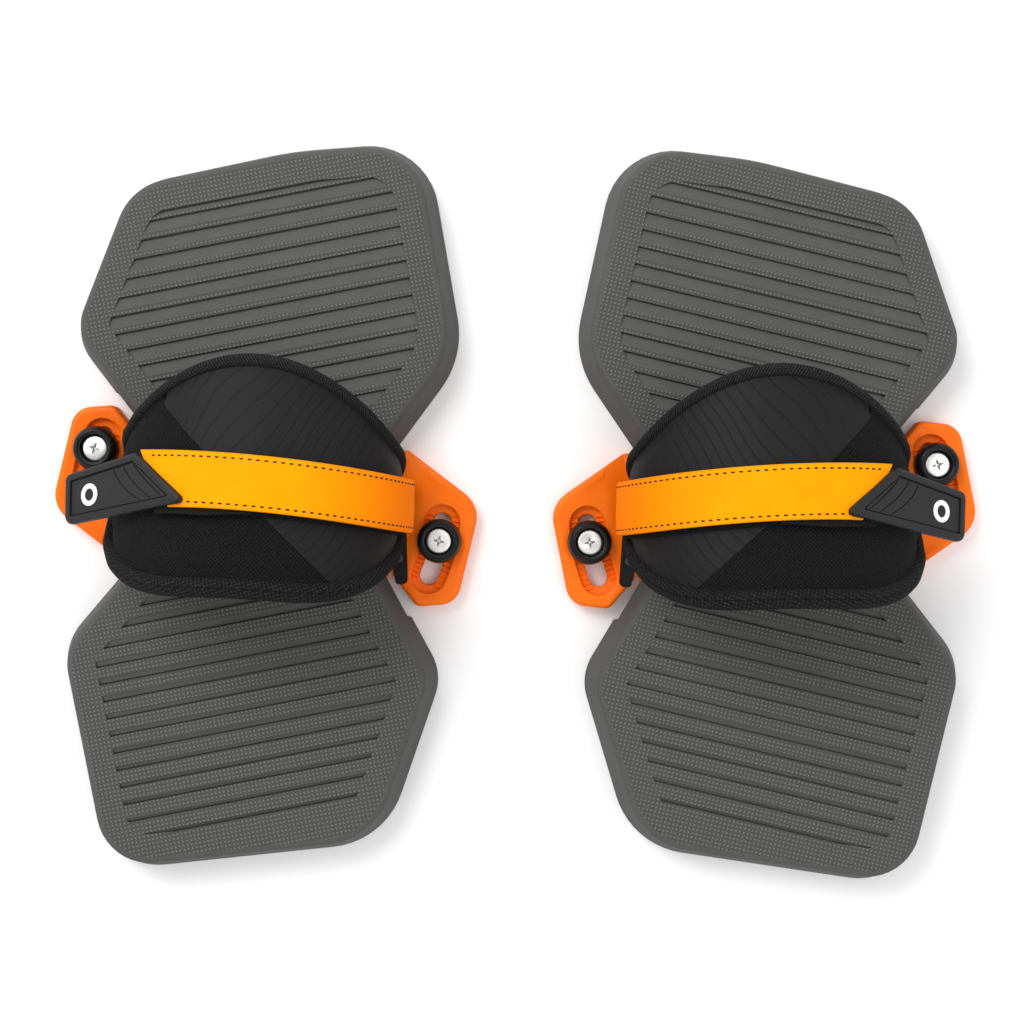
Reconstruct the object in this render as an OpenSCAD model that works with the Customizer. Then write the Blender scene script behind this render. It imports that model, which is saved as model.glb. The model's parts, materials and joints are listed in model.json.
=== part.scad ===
// A pair of bindings for a twin-tip kiteboard: two moulded footpads, each on an
// orange chassis with two slotted wings, with a padded strap over the foot.
// Each binding is drawn once, as the left one, in its own frame: the origin is
// the chassis centre on the board, +Y points to the toes, -X is the outer side
// of the foot and +Z is up. The right binding is its mirror image.

/* [Placement] */
// Distance between the two chassis centres
stance = 214.4; // [214:0.1:620]
// Turn-out of the left foot, in degrees
left_turn = 11; // [0:0.5:20]
// Turn-out of the right foot, in degrees
right_turn = 13.5; // [0:0.5:20]
// How far the right binding sits behind the left one
right_set_back = 3.9; // [0:0.1:10]

/* [Footpad] */
// Height of the footpad above the board
pad_h = 20; // [16:0.5:26]
// How much smaller the pad's top outline is, all round
pad_draft = 6; // [2:0.5:8]
// Width of the plain dotted border round the grooves
pad_border = 11; // [8:0.5:14]
// Width of the grip grooves
groove_w = 2.6; // [1.5:0.1:4]
// Depth of the grip grooves
groove_depth = 1.4; // [0.8:0.1:2]
// Groove spacing under the toes
toe_pitch = 7.4; // [7:0.1:10]
// Groove spacing under the heel
heel_pitch = 7.4; // [7:0.1:10]

/* [Chassis] */
// Distance between the two screws of one binding
screw_spacing = 152.4; // [152.4:0.1:160]
// Angle of the screw line to the pad's own cross line
wing_angle = -25.3; // [-30:0.1:-20]
// Height of the wings
wing_h = 8; // [7:0.5:9]
// Height of the toothed ledge in each slot
ledge_h = 5; // [4:0.5:6]
// Width of the recess in each slot
recess_w = 15; // [14:0.5:16]
// Overall length of the recess in each slot
recess_l = 38.7; // [34:0.1:42]
// Width of the opening that the screw runs in
slot_w = 8.1; // [7:0.1:9]
// Thickness of the bar under the pad
bar_h = 4.5; // [3:0.5:5]
// Width of the bar under the pad
bar_w = 62; // [40:1:66]

/* [Fasteners] */
// Thread diameter of the main screws
screw_d = 6; // [5:0.1:6]
// Head diameter of the main screws
head_d = 11.3; // [10:0.1:12]
// Base diameter of the grip washers
washer_d = 19; // [18:0.5:21]
// Height of the grip washers above the wing
washer_h = 7.5; // [6:0.5:8]
// Where the inner screw stands in its slot, in degrees towards the toes
medial_screw_at = 2.9; // [-5:0.1:5]
// Where the outer screw stands in its slot, in degrees towards the toes
lateral_screw_at = 4.5; // [-5:0.1:5]

/* [Strap] */
// Angle of the strap to the pad's own cross line
strap_angle = -14; // [-20:0.5:-8]
// Half the outer width of the strap at its ankle edge
ankle_half_w = 61; // [56:0.5:66]
// Half the outer width of the strap at its toe edge
toe_half_w = 58; // [54:0.5:62]
// Height of the strap's crest at its ankle edge
ankle_crest = 88; // [76:1:96]
// Height of the strap's crest at its toe edge
toe_crest = 70; // [62:1:80]
// Thickness of the foam inside the strap
foam_t = 8; // [6:0.5:9]
// Width of the tape round the toe edge
toe_tape_w = 5; // [4:0.5:7]
// Width of the knitted tape round the ankle edge
ankle_tape_w = 8; // [6:0.5:10]

/* [Closure] */
// Width of the closure strap
closure_w = 22; // [18:0.5:26]
// Width of the hook backing that shows past the closure strap
backing_lip = 3; // [2:0.5:6]
// Length of the rubber pull tab
tab_l = 54; // [44:1:54]
// Thickness of the rubber pull tab
tab_t = 3.4; // [2.5:0.1:4]

/* [Hidden] */
gap = 0.3;
arc_steps = 5;
edge_step = 1;
pocket_z = bar_h + 0.4;
slot_r = screw_spacing / 2;
lateral = 180;

first_toe_groove = 28.5;
last_toe_groove = 125;
first_heel_groove = -32;
last_heel_groove = -130;

// Moves the pair so that the origin lies under the middle of its box
pair_shift = [1, 0.7];

// Each corner is [x, y, radius], anticlockwise as seen from above
pad_corners = [
    [-98, -142, 27], [22, -152.5, 35], [60.5, -86, 22], [36, -8, 35],
    [96, 47, 40], [98, 142, 30], [40, 148.7, 150], [-31, 147.5, 30],
    [-68.5, 88, 22], [-31, 12, 35], [-98.5, -42, 25]
];
wing_corners = [
    [46.5, -37, 3], [55.5, -55, 4], [72.5, -57, 9], [90.6, -17.4, 13],
    [65, 11.5, 2.5], [60.5, 13, 2], [46.5, -3, 3]
];
anchor_corners = [[48.5, -44, 1.5], [53.5, -44, 2], [60, -4, 3], [51, -4, 2]];
anchor_screws_at = [[52, -33], [55, -13]];
tab_corners = [[-10, 11.5, 3], [10, -12, 3], [tab_l - 4, -10.5, 3], [tab_l - 2, 10, 4]];

// The strap is a half cone over the foot, drawn in its own frame: u runs from the
// outer side to the inner one, w to the toes, and th is 0 at the crest
strap_mid_h = 30;
strap_foot_drop = 62;
strap_end = 108;
panel_t = 1.2;
lining_t = 1;
sewn_gap = 0.2;
foam_out = -panel_t - sewn_gap;
foam_in = foam_out - foam_t;
lining_out = foam_in - sewn_gap;
lining_in = lining_out - lining_t;
band_t = 1.4;
backing_t = 1.1;
webbing_t = 1.6;
backing_low = gap + band_t + gap;
webbing_low = backing_low + backing_t + gap;
webbing_high = webbing_low + webbing_t;
free_end = -33;
sewn_end = 86;

function unit(v) = v / norm(v);
function flat(p) = [p[0], p[1]];
function turned(a, b) = a[0] * b[1] - a[1] * b[0];

// The arc that rounds one corner, moved in by inset; an inward corner opens up instead
function corner_arc(before, corner, after, inset) =
    let (
        from = unit(flat(before) - flat(corner)),
        to = unit(flat(after) - flat(corner)),
        side = turned(from, to) < 0 ? 1 : -1,
        half = acos(max(-1, min(1, from * to))) / 2,
        centre = flat(corner) + unit(from + to) * corner[2] / sin(half),
        r = corner[2] - side * inset,
        middle = atan2(-(from + to)[1], -(from + to)[0]),
        sweep = side * (90 - half)
    )
    [for (i = [0:arc_steps]) centre + r * [
        cos(middle + sweep * (2 * i / arc_steps - 1)),
        sin(middle + sweep * (2 * i / arc_steps - 1))]];

function rounded(corners, inset = 0) =
    let (n = len(corners))
    [for (k = [0:n - 1]) each corner_arc(
        corners[(k + n - 1) % n], corners[k], corners[(k + 1) % n], inset)];

// A closed skin through rings of equal length, lowest first
module skin(rings) {
    n = len(rings[0]);
    top = len(rings) - 1;
    polyhedron(
        points = [for (ring = rings) each ring],
        faces = concat(
            [[for (i = [n - 1:-1:0]) top * n + i]],
            [[for (i = [0:n - 1]) i]],
            [for (k = [0:top - 1], i = [0:n - 1])
                [k * n + i, (k + 1) * n + i, (k + 1) * n + (i + 1) % n]],
            [for (k = [0:top - 1], i = [0:n - 1])
                [k * n + i, (k + 1) * n + (i + 1) % n, k * n + (i + 1) % n]]));
}

function at_height(points, z) = [for (p = points) [p[0], p[1], z]];
function mix(a, b, k) = a + (b - a) * k;

// ---- Footpad -------------------------------------------------------------

// Where the line at height y crosses a closed outline, as a list of x values
function crossings(outline, y) =
    let (n = len(outline))
    [for (i = [0:n - 1])
        let (a = outline[i], b = outline[(i + 1) % n])
        if ((a[1] - y) * (b[1] - y) < 0) mix(a[0], b[0], (y - a[1]) / (b[1] - a[1]))];

module groove(field, y) {
    low = crossings(field, y);
    high = crossings(field, y + groove_w);
    left = max(min(low), min(high));
    right = min(max(low), max(high));
    translate([left, y, pad_h - groove_depth]) cube([right - left, groove_w, 5]);
}

module footpad() {
    field = rounded(pad_corners, pad_draft + pad_border);
    // one closed mesh, pad_h high: its sloping sides leave nothing to keep exact
    color([0.37, 0.37, 0.36]) resize([0, 0, pad_h]) difference() {
        skin([
            at_height(rounded(pad_corners), 0),
            at_height(rounded(pad_corners, pad_draft - 1), pad_h - 1.2),
            at_height(rounded(pad_corners, pad_draft), pad_h)
        ]);
        for (y = [first_toe_groove:toe_pitch:last_toe_groove]) groove(field, y);
        for (y = [first_heel_groove:-heel_pitch:last_heel_groove]) groove(field, y);
        rotate(wing_angle) translate([-80, -bar_w / 2 - gap, -1])
            cube([160, bar_w + 2 * gap, bar_h + gap + 1]);
    }
}

// ---- Chassis -------------------------------------------------------------

// An arc-shaped slot round the chassis centre, with round ends
module arc_slot(width, length, height) {
    half = (length - width) / 2 / slot_r * 180 / PI;
    intersection() {
        difference() {
            cylinder(r = slot_r + width / 2, h = height, $fn = 96);
            translate([0, 0, -1]) cylinder(r = slot_r - width / 2, h = height + 2, $fn = 96);
        }
        linear_extrude(height) polygon([
            [0, 0],
            2 * slot_r * [cos(half), -sin(half)],
            2 * slot_r * [cos(half), sin(half)]
        ]);
    }
    for (side = [-half, half]) rotate(side) translate([slot_r, 0, 0])
        cylinder(d = width, h = height, $fn = 48);
}

module ledge_teeth() {
    pitch = 1.6;
    for (a = [-11.2:pitch:11.2]) rotate(a) for (r = [slot_w / 2 + 1.9, -slot_w / 2 - 1.9])
        translate([slot_r + r - 1.5, -0.5, ledge_h - 0.2]) cube([3, 1, 0.9]);
}

module wing() {
    difference() {
        union() {
            linear_extrude(wing_h - edge_step) polygon(rounded(wing_corners));
            linear_extrude(wing_h) polygon(rounded(wing_corners, edge_step));
        }
        // the inner side falls away towards the pad
        rotate(wing_angle) translate([slot_r - 12, 70, 0]) rotate([90, 0, 0])
            linear_extrude(140) polygon([
                [0, wing_h], [0, 30], [-60, 30], [-60, bar_h + 1], [-10, bar_h + 1]]);
        translate([0, 0, pocket_z]) linear_extrude(20) polygon(rounded(anchor_corners, -gap));
        rotate(wing_angle) translate([0, 0, ledge_h]) arc_slot(recess_w, recess_l, 20);
        rotate(wing_angle) translate([0, 0, -1]) arc_slot(slot_w, recess_l - recess_w + slot_w, 20);
    }
    rotate(wing_angle) ledge_teeth();
}

module chassis() {
    color([1, 0.42, 0.05]) difference() {
        union() {
            rotate(wing_angle) translate([-58, -bar_w / 2, 0]) cube([116, bar_w, bar_h]);
            wing();
            rotate(lateral) wing();
        }
        for (side = [0, lateral]) rotate(side) {
            anchor_holes(2);
            for (p = anchor_screws_at) translate([p[0], p[1], -1])
                cylinder(d = 6.6, h = 3.6, $fn = 32);
        }
    }
}

// ---- Fasteners -----------------------------------------------------------

module at_screw(side, offset) {
    rotate(wing_angle + side + offset) translate([slot_r, 0, 0]) children();
}

module washer() {
    rise = wing_h + gap;
    color([0.06, 0.06, 0.06]) rotate_extrude($fn = 64) polygon([
        [3.2, ledge_h + 1.2], [recess_w / 2 - gap, ledge_h + 1.2], [recess_w / 2 - gap, rise],
        [washer_d / 2, rise], [washer_d / 2, rise + 2.4],
        [washer_d / 2 - 0.6, rise + 4.6], [washer_d / 2 - 1.6, rise + washer_h - 1],
        [washer_d / 2 - 2.8, rise + washer_h], [head_d / 2 + 0.5, rise + washer_h],
        [head_d / 2 + 0.3, rise + washer_h - 3.4], [3.2, rise + washer_h - 6]
    ]);
}

module screw() {
    head_top = wing_h + washer_h - 2.4;
    color([0.8, 0.8, 0.8]) difference() {
        union() {
            translate([0, 0, 0.2]) cylinder(d = screw_d, h = head_top - 1, $fn = 48);
            translate([0, 0, head_top - 0.9]) cylinder(d = head_d, h = 0.9, $fn = 64);
            translate([0, 0, head_top - 3.2])
                cylinder(d1 = screw_d, d2 = head_d - 0.2, h = 2.31, $fn = 64);
        }
        for (turn = [0, 90]) rotate(turn) translate([-2.8, -0.6, head_top - 2])
            cube([5.6, 1.2, 3]);
    }
}

module anchor_holes(radius) {
    for (p = anchor_screws_at) translate([p[0], p[1], -1]) cylinder(r = radius, h = 20, $fn = 32);
}

module anchor() {
    color([0.05, 0.05, 0.05]) difference() {
        translate([0, 0, pocket_z]) linear_extrude(3.2) polygon(rounded(anchor_corners));
        anchor_holes(2);
    }
}

module medial_anchor() { anchor(); }
module lateral_anchor() { rotate(lateral) anchor(); }

module anchor_screws() {
    color([0.15, 0.15, 0.16]) for (side = [0, lateral]) rotate(side) for (p = anchor_screws_at)
        translate([p[0], p[1], 0.3]) {
            cylinder(d = 6, h = 2, $fn = 32);
            cylinder(d = 3.6, h = 8, $fn = 32);
        }
}

// ---- Strap ---------------------------------------------------------------

function crown(th) = max(0, cos(th));
function foot_taper(th) = max(0, min(1, (abs(th) - 85) / (strap_end - 85)));
function toe_edge(th) = 26 + 34 * pow(crown(th), 1.7) - 7 * foot_taper(th);
function ankle_edge(th) = -12 - 30 * pow(crown(th), 0.7) + 6 * pow(crown(th), 6) + 2 * foot_taper(th);

// A point of the strap's outer face, or h above it
function strap_point(th, w, h = 0) =
    let (
        v = (w - ankle_edge(th)) / (toe_edge(th) - ankle_edge(th)),
        half_w = mix(ankle_half_w, toe_half_w, v) + h,
        rise = mix(ankle_crest, toe_crest, v) - strap_mid_h + h
    )
    [2 * v + half_w * sin(th), w,
        strap_mid_h + (cos(th) > 0 ? rise : strap_foot_drop + h) * cos(th)];

// A layer of the strap between two heights over its outer face, across the
// angles ths and from low(th) to high(th) along the foot
module layer(ths, low, high, inner, outer, across = 4) {
    rows = len(ths);
    row = across + 1;
    side = rows * row;
    points = [for (h = [inner, outer], th = ths, j = [0:across])
        strap_point(th, mix(low(th), high(th), j / across), h)];
    quads = concat(
        [for (i = [0:rows - 2], j = [0:across - 1])
            let (a = i * row + j) [a, a + row, a + row + 1, a + 1]],
        [for (i = [0:rows - 2], j = [0:across - 1])
            let (a = side + i * row + j) [a, a + 1, a + row + 1, a + row]],
        [for (i = [0:rows - 2]) let (a = i * row) [a, side + a, side + a + row, a + row]],
        [for (i = [0:rows - 2]) let (a = i * row + across)
            [a, a + row, side + a + row, side + a]],
        [for (j = [0:across - 1]) [j, j + 1, side + j + 1, side + j]],
        [for (j = [0:across - 1]) let (a = (rows - 1) * row + j)
            [a, side + a, side + a + 1, a + 1]]);
    polyhedron(points, [for (q = quads) each [[q[0], q[1], q[2]], [q[0], q[2], q[3]]]]);
}

function angles(from, to, steps) = [for (i = [0:steps]) mix(from, to, i / steps)];
function body_low(th) = ankle_edge(th) + ankle_tape_w + sewn_gap;
function body_high(th) = toe_edge(th) - toe_tape_w - sewn_gap;

// The seam between the mesh and the rubber runs straight across the foot
function seam(th) = 4.5 - 0.89 * ankle_half_w * sin(th);

module strap_lining() {
    color([0.08, 0.08, 0.08]) layer(angles(-strap_end, strap_end, 24),
        function (th) body_low(th), function (th) body_high(th), lining_in, lining_out);
}

module strap_foam() {
    color([0.12, 0.12, 0.12]) layer(angles(-strap_end, strap_end, 24),
        function (th) body_low(th), function (th) body_high(th), foam_in, foam_out);
}

module mesh_panel() {
    color([0.07, 0.07, 0.07]) layer(angles(-strap_end, 36, 16),
        function (th) body_low(th),
        function (th) min(body_high(th), seam(th) - sewn_gap), -panel_t, 0);
}

module rubber_panel() {
    color([0.16, 0.16, 0.17]) layer(angles(-36, strap_end, 16),
        function (th) max(body_low(th), seam(th)), function (th) body_high(th), -panel_t, 0);
}

module toe_tape() {
    color([0.1, 0.1, 0.1]) layer(angles(-strap_end, strap_end, 24),
        function (th) toe_edge(th) - toe_tape_w, function (th) toe_edge(th),
        lining_in - 0.6, 0.8, 1);
}

module ankle_tape() {
    color([0.1, 0.1, 0.1]) layer(angles(-strap_end, strap_end, 24),
        function (th) ankle_edge(th), function (th) ankle_edge(th) + ankle_tape_w,
        lining_in - 1, 1.2, 1);
}

// ---- Closure -------------------------------------------------------------

function band_mid(th) = 9 - 2 * sin(th) - 4 * pow(sin(th), 2);

module loop_band() {
    color([0.04, 0.04, 0.04]) layer(angles(free_end, sewn_end + 2, 20),
        function (th) max(band_mid(th) - (closure_w + backing_lip) / 2, body_low(th)),
        function (th) band_mid(th) + closure_w / 2, gap, gap + band_t, 2);
}

module closure_sewn() {
    color([1, 0.6, 0]) layer(angles(0.3, sewn_end, 12),
        function (th) band_mid(th) - closure_w / 2,
        function (th) band_mid(th) + closure_w / 2, backing_low, webbing_high, 2);
}

module hook_backing() {
    color([0.04, 0.04, 0.04]) difference() {
        layer(angles(free_end, -0.3, 8),
            function (th) band_mid(th) - closure_w / 2 - backing_lip,
            function (th) band_mid(th) + closure_w / 2, backing_low, backing_low + backing_t, 2);
        tab_place() translate([0, 0, -2 * gap]) linear_extrude(20)
            polygon(rounded(tab_corners, -gap));
    }
}

module tab_place() {
    root = strap_point(free_end + 2, band_mid(free_end), webbing_low + gap);
    translate(root) rotate([12, 32, 195]) children();
}

module closure_free() {
    color([1, 0.6, 0]) difference() {
        layer(angles(free_end, -0.3, 8),
            function (th) band_mid(th) - closure_w / 2,
            function (th) band_mid(th) + closure_w / 2, webbing_low, webbing_high, 2);
        tab_place() translate([0, 0, -10]) linear_extrude(20)
            polygon(rounded(tab_corners, -gap));
    }
}

module pull_tab() {
    color([0.08, 0.08, 0.08]) tab_place() difference() {
        linear_extrude(tab_t) polygon(rounded(tab_corners));
        // a sunk field inside a raised frame, with four finger ribs
        translate([0, 0, tab_t - 0.8]) linear_extrude(2) difference() {
            polygon(rounded(tab_corners, 2.2));
            for (x = [12:4.5:26]) translate([x, -20]) square([2.4, 40]);
        }
    }
}

// A plain ring on the tab's field
module tab_emblem() {
    color([0.9, 0.9, 0.9]) tab_place() translate([37, 0, tab_t - 0.8]) linear_extrude(0.6)
        difference() {
            circle(d = 9, $fn = 48);
            circle(d = 5, $fn = 48);
        }
}

// ---- The two bindings ----------------------------------------------------

module on_left() {
    translate([-stance / 2 + pair_shift[0], right_set_back / 2 + pair_shift[1], 0])
        rotate(left_turn) children();
}

module on_right() {
    translate([stance / 2 + pair_shift[0], -right_set_back / 2 + pair_shift[1], 0])
        rotate(-right_turn) mirror([1, 0, 0]) children();
}

module in_strap_frame() { rotate(strap_angle) children(); }

module medial_washer() { at_screw(0, medial_screw_at) washer(); }
module medial_screw() { at_screw(0, medial_screw_at) screw(); }
module lateral_washer() { at_screw(lateral, -lateral_screw_at) washer(); }
module lateral_screw() { at_screw(lateral, -lateral_screw_at) screw(); }

on_left() footpad();  // left_footpad
on_left() chassis();  // left_chassis
on_left() medial_washer();  // left_medial_washer
on_left() medial_screw();  // left_medial_screw
on_left() lateral_washer();  // left_lateral_washer
on_left() lateral_screw();  // left_lateral_screw
on_left() medial_anchor();  // left_medial_anchor
on_left() lateral_anchor();  // left_lateral_anchor
on_left() anchor_screws();  // left_anchor_screws
on_left() in_strap_frame() strap_lining();  // left_strap_lining
on_left() in_strap_frame() strap_foam();  // left_strap_foam
on_left() in_strap_frame() mesh_panel();  // left_mesh_panel
on_left() in_strap_frame() rubber_panel();  // left_rubber_panel
on_left() in_strap_frame() toe_tape();  // left_toe_tape
on_left() in_strap_frame() ankle_tape();  // left_ankle_tape
on_left() in_strap_frame() loop_band();  // left_loop_band
on_left() in_strap_frame() closure_sewn();  // left_closure_sewn
on_left() in_strap_frame() hook_backing();  // left_hook_backing
on_left() in_strap_frame() closure_free();  // left_closure_free
on_left() in_strap_frame() pull_tab();  // left_pull_tab
on_left() in_strap_frame() tab_emblem();  // left_tab_emblem
on_right() footpad();  // right_footpad
on_right() chassis();  // right_chassis
on_right() medial_washer();  // right_medial_washer
on_right() medial_screw();  // right_medial_screw
on_right() lateral_washer();  // right_lateral_washer
on_right() lateral_screw();  // right_lateral_screw
on_right() medial_anchor();  // right_medial_anchor
on_right() lateral_anchor();  // right_lateral_anchor
on_right() anchor_screws();  // right_anchor_screws
on_right() in_strap_frame() strap_lining();  // right_strap_lining
on_right() in_strap_frame() strap_foam();  // right_strap_foam
on_right() in_strap_frame() mesh_panel();  // right_mesh_panel
on_right() in_strap_frame() rubber_panel();  // right_rubber_panel
on_right() in_strap_frame() toe_tape();  // right_toe_tape
on_right() in_strap_frame() ankle_tape();  // right_ankle_tape
on_right() in_strap_frame() loop_band();  // right_loop_band
on_right() in_strap_frame() closure_sewn();  // right_closure_sewn
on_right() in_strap_frame() hook_backing();  // right_hook_backing
on_right() in_strap_frame() closure_free();  // right_closure_free
on_right() in_strap_frame() pull_tab();  // right_pull_tab
on_right() in_strap_frame() tab_emblem();  // right_tab_emblem
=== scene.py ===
import bpy
import json
import math
from mathutils import Matrix, Vector, noise


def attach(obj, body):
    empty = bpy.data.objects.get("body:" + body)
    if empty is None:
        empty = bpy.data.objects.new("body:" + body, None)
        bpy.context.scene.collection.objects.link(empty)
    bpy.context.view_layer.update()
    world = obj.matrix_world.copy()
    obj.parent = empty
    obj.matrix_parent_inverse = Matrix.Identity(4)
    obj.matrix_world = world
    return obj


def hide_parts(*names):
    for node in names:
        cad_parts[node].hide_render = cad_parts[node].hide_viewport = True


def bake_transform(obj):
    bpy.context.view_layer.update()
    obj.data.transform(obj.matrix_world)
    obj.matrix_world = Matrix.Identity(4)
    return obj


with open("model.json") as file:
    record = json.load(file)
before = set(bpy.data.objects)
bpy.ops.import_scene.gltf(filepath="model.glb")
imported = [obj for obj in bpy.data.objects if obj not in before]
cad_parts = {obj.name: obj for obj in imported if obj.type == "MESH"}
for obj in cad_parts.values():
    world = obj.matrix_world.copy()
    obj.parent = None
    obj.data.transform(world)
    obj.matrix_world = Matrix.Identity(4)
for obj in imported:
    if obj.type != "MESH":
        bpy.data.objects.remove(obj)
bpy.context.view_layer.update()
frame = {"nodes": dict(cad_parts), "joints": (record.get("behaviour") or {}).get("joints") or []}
print("frame loaded")

# The two bindings are mirror twins. Every piece is made once, in millimetres round the
# chassis centre of the left one with the toes along y, and then placed on both sides.
mm = 0.001
perWave = 3.183  # waves that a wave texture of scale 1 draws over one unit
bindings = {"left": {"turn": 11, "flip": 1}, "right": {"turn": -13.5, "flip": -1}}


def bindingPlace(side):
    joint = next(j for j in frame["joints"] if j["name"] == side + "_medial_slot")
    centre = Vector(joint["pos_m"])
    centre.z = 0
    turn = Matrix.Rotation(math.radians(bindings[side]["turn"]), 4, "Z")
    return Matrix.Translation(centre) @ turn @ Matrix.Diagonal((bindings[side]["flip"], 1, 1, 1))


# ---- camera, light and floor

view = {"height": 0.74, "lens": 59.95, "x": -0.0003, "y": 0.0}
light = {"world": 0.85, "key": 17, "fill": 5, "floor": (0.93, 0.93, 0.93)}


def setStage():
    bpy.ops.object.camera_add(location=(view["x"], view["y"], view["height"]), rotation=(0, 0, 0))
    camera = bpy.context.object
    camera.data.lens = view["lens"]
    camera.data.sensor_width = 36
    bpy.context.scene.camera = camera
    world = bpy.data.worlds.new("studio")
    world.use_nodes = True
    world.node_tree.nodes["Background"].inputs["Color"].default_value = (1, 1, 1, 1)
    world.node_tree.nodes["Background"].inputs["Strength"].default_value = light["world"]
    bpy.context.scene.world = world
    bpy.context.scene.view_settings.view_transform = "Standard"
    for name, place, size, power in (
        ("key", (-0.75, 0.85, 1.25), 0.9, light["key"]),
        ("fill", (0.9, -0.2, 1.4), 1.2, light["fill"]),
    ):
        bpy.ops.object.light_add(type="AREA", location=place)
        lamp = bpy.context.object
        lamp.name = name
        lamp.data.size = size
        lamp.data.energy = power
        lamp.rotation_euler = (-Vector(place)).to_track_quat("-Z", "Y").to_euler()
    bpy.ops.mesh.primitive_plane_add(size=6, location=(0, 0, -0.0004))
    floor = bpy.context.object
    floor.name = "floor"
    floor.data.materials.append(plainMaterial("floor", light["floor"], 0.9))


# ---- materials


def plainMaterial(name, colour, roughness, **sockets):
    material = bpy.data.materials.new(name)
    material.use_nodes = True
    shader = material.node_tree.nodes["Principled BSDF"]
    shader.inputs["Base Color"].default_value = (*colour, 1)
    shader.inputs["Roughness"].default_value = roughness
    for socket, value in sockets.items():
        shader.inputs[socket.replace("_", " ")].default_value = value
    return material


def addNode(material, kind, inputs=None, **settings):
    made = material.node_tree.nodes.new("ShaderNode" + kind)
    for key, value in settings.items():
        setattr(made, key, value)
    for socket, value in (inputs or {}).items():
        if isinstance(value, bpy.types.NodeSocket):
            material.node_tree.links.new(value, made.inputs[socket])
        else:
            made.inputs[socket].default_value = value
    return made


def toShader(material, socket, output):
    shader = material.node_tree.nodes["Principled BSDF"]
    material.node_tree.links.new(output, shader.inputs[socket])


def alongSurface(material, turn=0):
    flat = addNode(material, "UVMap", uv_map="surface")
    mapping = {"Vector": flat.outputs["UV"], "Rotation": (0, 0, math.radians(turn))}
    return addNode(material, "Mapping", mapping).outputs["Vector"]


def inSpace(material):
    return addNode(material, "TexCoord").outputs["Object"]


def between(material, value, low, high, to=(0, 1)):
    inputs = {"Value": value, "From Min": low, "From Max": high, "To Min": to[0], "To Max": to[1]}
    return addNode(material, "MapRange", inputs).outputs["Result"]


def maths(material, operation, a, b):
    return addNode(material, "Math", {0: a, 1: b}, operation=operation).outputs["Value"]


def blendColours(material, factor, a, b):
    made = addNode(material, "Mix", {"Factor": factor}, data_type="RGBA")
    for socket, value in ((6, a), (7, b)):
        if isinstance(value, bpy.types.NodeSocket):
            material.node_tree.links.new(value, made.inputs[socket])
        else:
            made.inputs[socket].default_value = (*value, 1)
    return made.outputs[2]


def bumps(material, *layers):
    normal = None
    for height, depth in layers:
        inputs = {"Height": height, "Distance": depth * mm, "Strength": 1.0}
        if normal:
            inputs["Normal"] = normal
        normal = addNode(material, "Bump", inputs).outputs["Normal"]
    toShader(material, "Normal", normal)


def speckle(material, scale, detail=3.0):
    inputs = {"Vector": inSpace(material), "Scale": scale, "Detail": detail}
    return addNode(material, "TexNoise", inputs).outputs["Fac"]


def uneven(material, scale, low, high):
    # lets the roughness drift between low and high
    cloud = between(material, speckle(material, scale), 0.3, 0.7, (low, high))
    toShader(material, "Roughness", cloud)


foam = {
    "base": (0.072, 0.072, 0.07), "cloud": (0.081, 0.081, 0.079), "dot": (0.155, 0.155, 0.15),
    "valley": (0.062, 0.062, 0.06), "pitch": 1.75,
}


def foamMaterial():
    material = plainMaterial("evaFoam", foam["base"], 0.8, Specular_IOR_Level=0.3)
    lattice = addNode(
        material,
        "TexVoronoi",
        {"Vector": alongSurface(material), "Scale": 1 / (foam["pitch"] * mm), "Randomness": 0.0},
    ).outputs["Distance"]
    dot = between(material, lattice, 0.36, 0.12)
    height = addNode(material, "SeparateXYZ", {0: inSpace(material)}).outputs["Z"]
    top = footpad["height"] * mm
    onTop = between(material, height, top - 0.06 * mm, top - 0.02 * mm)
    dotted = maths(material, "MULTIPLY", dot, onTop)
    cloud = between(material, speckle(material, 60), 0.3, 0.7, (0.0, 1.0))
    smooth = blendColours(material, cloud, foam["base"], foam["cloud"])
    ground = blendColours(material, onTop, smooth, foam["valley"])
    toShader(material, "Base Color", blendColours(material, dotted, ground, foam["dot"]))
    bumps(material, (speckle(material, 2600), 0.05), (dotted, 0.3))
    return material


def nylonMaterial(name, colour, roughness, worn):
    material = plainMaterial(name, colour, roughness, Specular_IOR_Level=0.2)
    scuff = between(material, speckle(material, 90, 6), 0.45, 0.75)
    toShader(material, "Base Color", blendColours(material, scuff, colour, worn))
    uneven(material, 300, roughness - 0.06, roughness + 0.08)
    bumps(material, (speckle(material, 3200, 2), 0.035))
    return material


def steelMaterial(name, colour, roughness):
    material = plainMaterial(name, colour, roughness, Metallic=1.0, Anisotropic=0.75)
    around = addNode(material, "Tangent", direction_type="UV_MAP", uv_map="surface")
    toShader(material, "Tangent", around.outputs["Tangent"])
    inputs = {"Vector": alongSurface(material), "Scale": 900, "Distortion": 1.5}
    turned = addNode(material, "TexWave", inputs, bands_direction="Y").outputs["Fac"]
    bumps(material, (turned, 0.01), (speckle(material, 1500), 0.01))
    uneven(material, 400, roughness, roughness + 0.12)
    return material


def knitMaterial(name, colour, thread, pitch, turn=0, deep=0.25, rough=0.92):
    material = plainMaterial(name, colour, rough, Specular_IOR_Level=0.12)
    stitch = {"Vector": alongSurface(material, turn=turn), "Scale": 1 / (pitch * mm), "Randomness": 0.12}
    lattice = addNode(material, "TexVoronoi", stitch).outputs["Distance"]
    loop = between(material, lattice, 0.62, 0.12)
    fuzz = speckle(material, 1800)
    lit = maths(material, "MULTIPLY", loop, between(material, fuzz, 0.3, 0.75))
    toShader(material, "Base Color", blendColours(material, lit, colour, thread))
    bumps(material, (fuzz, 0.08), (loop, deep))
    return material


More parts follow.
